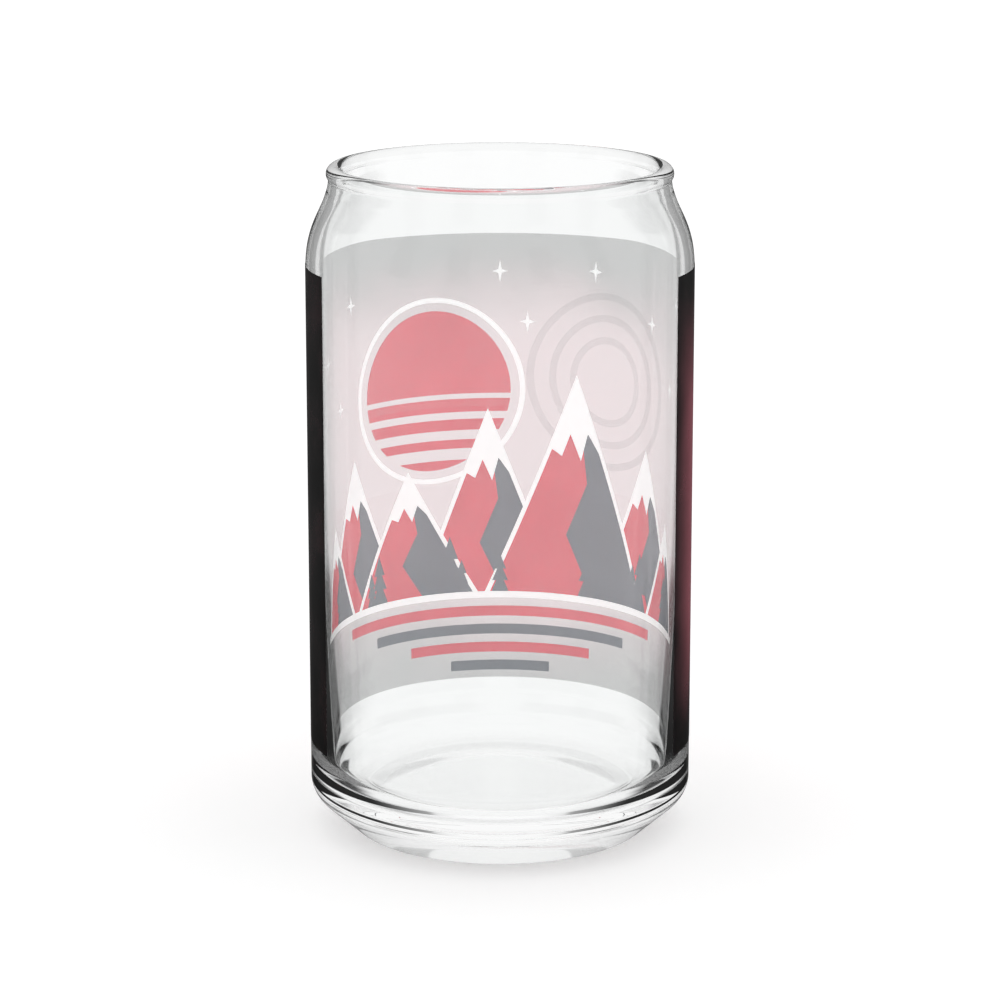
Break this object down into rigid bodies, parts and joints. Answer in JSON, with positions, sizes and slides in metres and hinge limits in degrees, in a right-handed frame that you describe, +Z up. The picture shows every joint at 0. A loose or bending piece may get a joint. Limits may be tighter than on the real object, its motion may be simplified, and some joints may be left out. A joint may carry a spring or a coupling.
{
  "type": "can shaped drinking glass",
  "caption": "Clear drinking glass in the shape of a drinks can, with a rolled rim, a sloping shoulder, a bevelled foot and a wrap-round print that leaves a clear window.",
  "frame": {"origin": "centre of the foot on the surface that the glass stands on", "axes": "+Z up along the glass's own axis, -Y towards the clear window in the print, +X to the right as seen from there"},
  "size_m": [0.0768, 0.0765, 0.1334],
  "materials": {
    "glass": "clear polished soda-lime glass",
    "ink_pale_ground": "white ink seen through the glass, with the rose ground showing through it",
    "ink_pale_halo": "white ink seen through the glass, with faint grey rings showing through it",
    "ink_pale_red": "white ink seen through the glass, with red showing through it",
    "ink_pale_slate": "white ink seen through the glass, with slate grey showing through it",
    "ink_pale_white": "plain white ink seen through the glass",
    "ink_black": "glossy black ink on the outside",
    "ink_rose": "glossy dark rose ink on the outside",
    "ink_red": "glossy red ink on the outside",
    "ink_slate": "glossy slate grey ink on the outside",
    "ink_white": "glossy white ink on the outside"
  },
  "bodies": {
    "root": {"glass": "glass", "base_ground": "ink_pale_ground", "base_halo": "ink_pale_halo", "base_red": "ink_pale_red", "base_slate": "ink_pale_slate", "base_white": "ink_pale_white", "top_black": "ink_black", "top_rose": "ink_rose", "top_red": "ink_red", "top_slate": "ink_slate", "top_white": "ink_white"}
  },
  "joints": []
}
